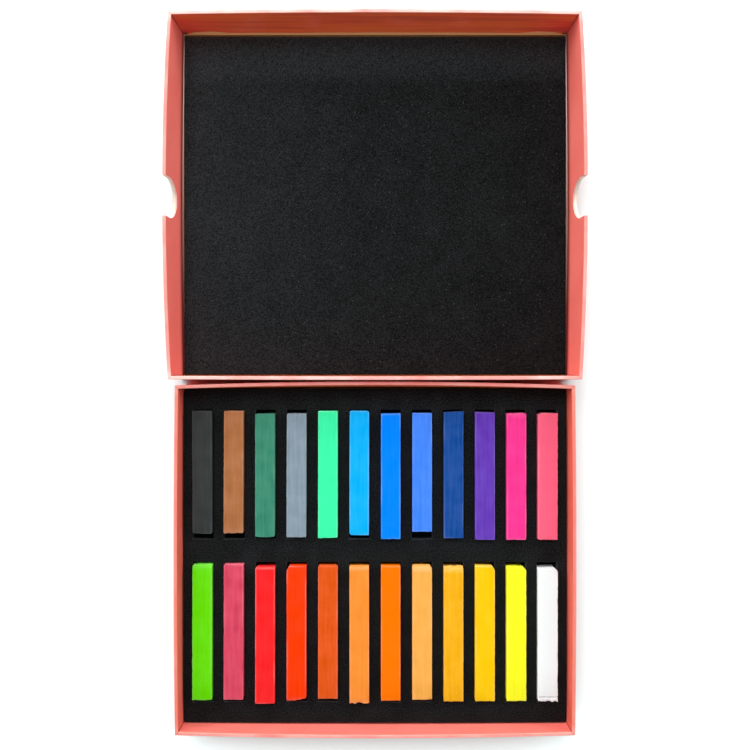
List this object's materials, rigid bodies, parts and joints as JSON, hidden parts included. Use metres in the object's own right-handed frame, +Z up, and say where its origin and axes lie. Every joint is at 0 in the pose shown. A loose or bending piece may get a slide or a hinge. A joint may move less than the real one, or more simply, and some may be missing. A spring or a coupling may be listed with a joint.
{
  "type": "pastel stick box",
  "caption": "Two-piece paper-wrapped board box: a tray whose die-cut foam holds square pastel sticks in slots, and a loose telescoping lid with thumb notches lying behind it, inside up.",
  "frame": {"origin": "middle of the tray's underside, on the surface that it stands on", "axes": "+Z up; +Y from the tray towards the lid lying behind it; +X to the right as seen from the tray's front"},
  "size_m": [0.2132, 0.3664, 0.0285],
  "materials": {
    "wrap_paper": "matte",
    "greyboard": "matte",
    "corner_tape": "matte",
    "black_foam": "matte",
    "pastel_charcoal": "matte",
    "pastel_brown": "matte",
    "pastel_dark_green": "matte",
    "pastel_slate": "matte",
    "pastel_mint": "matte",
    "pastel_sky_blue": "matte",
    "pastel_azure": "matte",
    "pastel_periwinkle": "matte",
    "pastel_navy": "matte",
    "pastel_purple": "matte",
    "pastel_magenta": "matte",
    "pastel_coral": "matte",
    "pastel_lime": "matte",
    "pastel_raspberry": "matte",
    "pastel_red": "matte",
    "pastel_vermilion": "matte",
    "pastel_rust": "matte",
    "pastel_light_orange": "matte",
    "pastel_orange": "matte",
    "pastel_peach": "matte",
    "pastel_amber": "matte",
    "pastel_golden_yellow": "matte",
    "pastel_lemon": "matte",
    "pastel_white": "matte"
  },
  "bodies": {
    "tray": {"tray_board": "greyboard", "tray_corner_stays": "corner_tape", "tray_wrap": "wrap_paper", "foam_base": "black_foam", "foam_insert": "black_foam"},
    "lid": {"lid_board": "greyboard", "lid_corner_stays": "corner_tape", "lid_wrap": "wrap_paper", "lid_pad": "black_foam"},
    "charcoal": {"stick_charcoal": "pastel_charcoal"},
    "brown": {"stick_brown": "pastel_brown"},
    "dark_green": {"stick_dark_green": "pastel_dark_green"},
    "slate": {"stick_slate": "pastel_slate"},
    "mint": {"stick_mint": "pastel_mint"},
    "sky_blue": {"stick_sky_blue": "pastel_sky_blue"},
    "azure": {"stick_azure": "pastel_azure"},
    "periwinkle": {"stick_periwinkle": "pastel_periwinkle"},
    "navy": {"stick_navy": "pastel_navy"},
    "purple": {"stick_purple": "pastel_purple"},
    "magenta": {"stick_magenta": "pastel_magenta"},
    "coral": {"stick_coral": "pastel_coral"},
    "lime": {"stick_lime": "pastel_lime"},
    "raspberry": {"stick_raspberry": "pastel_raspberry"},
    "red": {"stick_red": "pastel_red"},
    "vermilion": {"stick_vermilion": "pastel_vermilion"},
    "rust": {"stick_rust": "pastel_rust"},
    "light_orange": {"stick_light_orange": "pastel_light_orange"},
    "orange": {"stick_orange": "pastel_orange"},
    "peach": {"stick_peach": "pastel_peach"},
    "amber": {"stick_amber": "pastel_amber"},
    "golden_yellow": {"stick_golden_yellow": "pastel_golden_yellow"},
    "lemon": {"stick_lemon": "pastel_lemon"},
    "white": {"stick_white": "pastel_white"}
  },
  "joints": [
    {"name": "lid_lift", "type": "slide", "parent": "tray", "child": "lid", "axis": [0, 0, 1], "range_m": [0, 0.06]},
    {"name": "stick_charcoal_lift", "type": "slide", "parent": "tray", "child": "charcoal", "axis": [0, 0, 1], "range_m": [0, 0.03]},
    {"name": "stick_brown_lift", "type": "slide", "parent": "tray", "child": "brown", "axis": [0, 0, 1], "range_m": [0, 0.03]},
    {"name": "stick_dark_green_lift", "type": "slide", "parent": "tray", "child": "dark_green", "axis": [0, 0, 1], "range_m": [0, 0.03]},
    {"name": "stick_slate_lift", "type": "slide", "parent": "tray", "child": "slate", "axis": [0, 0, 1], "range_m": [0, 0.03]},
    {"name": "stick_mint_lift", "type": "slide", "parent": "tray", "child": "mint", "axis": [0, 0, 1], "range_m": [0, 0.03]},
    {"name": "stick_sky_blue_lift", "type": "slide", "parent": "tray", "child": "sky_blue", "axis": [0, 0, 1], "range_m": [0, 0.03]},
    {"name": "stick_azure_lift", "type": "slide", "parent": "tray", "child": "azure", "axis": [0, 0, 1], "range_m": [0, 0.03]},
    {"name": "stick_periwinkle_lift", "type": "slide", "parent": "tray", "child": "periwinkle", "axis": [0, 0, 1], "range_m": [0, 0.03]},
    {"name": "stick_navy_lift", "type": "slide", "parent": "tray", "child": "navy", "axis": [0, 0, 1], "range_m": [0, 0.03]},
    {"name": "stick_purple_lift", "type": "slide", "parent": "tray", "child": "purple", "axis": [0, 0, 1], "range_m": [0, 0.03]},
    {"name": "stick_magenta_lift", "type": "slide", "parent": "tray", "child": "magenta", "axis": [0, 0, 1], "range_m": [0, 0.03]},
    {"name": "stick_coral_lift", "type": "slide", "parent": "tray", "child": "coral", "axis": [0, 0, 1], "range_m": [0, 0.03]},
    {"name": "stick_lime_lift", "type": "slide", "parent": "tray", "child": "lime", "axis": [0, 0, 1], "range_m": [0, 0.03]},
    {"name": "stick_raspberry_lift", "type": "slide", "parent": "tray", "child": "raspberry", "axis": [0, 0, 1], "range_m": [0, 0.03]},
    {"name": "stick_red_lift", "type": "slide", "parent": "tray", "child": "red", "axis": [0, 0, 1], "range_m": [0, 0.03]},
    {"name": "stick_vermilion_lift", "type": "slide", "parent": "tray", "child": "vermilion", "axis": [0, 0, 1], "range_m": [0, 0.03]},
    {"name": "stick_rust_lift", "type": "slide", "parent": "tray", "child": "rust", "axis": [0, 0, 1], "range_m": [0, 0.03]},
    {"name": "stick_light_orange_lift", "type": "slide", "parent": "tray", "child": "light_orange", "axis": [0, 0, 1], "range_m": [0, 0.03]},
    {"name": "stick_orange_lift", "type": "slide", "parent": "tray", "child": "orange", "axis": [0, 0, 1], "range_m": [0, 0.03]},
    {"name": "stick_peach_lift", "type": "slide", "parent": "tray", "child": "peach", "axis": [0, 0, 1], "range_m": [0, 0.03]},
    {"name": "stick_amber_lift", "type": "slide", "parent": "tray", "child": "amber", "axis": [0, 0, 1], "range_m": [0, 0.03]},
    {"name": "stick_golden_yellow_lift", "type": "slide", "parent": "tray", "child": "golden_yellow", "axis": [0, 0, 1], "range_m": [0, 0.03]},
    {"name": "stick_lemon_lift", "type": "slide", "parent": "tray", "child": "lemon", "axis": [0, 0, 1], "range_m": [0, 0.03]},
    {"name": "stick_white_lift", "type": "slide", "parent": "tray", "child": "white", "axis": [0, 0, 1], "range_m": [0, 0.03]}
  ]
}
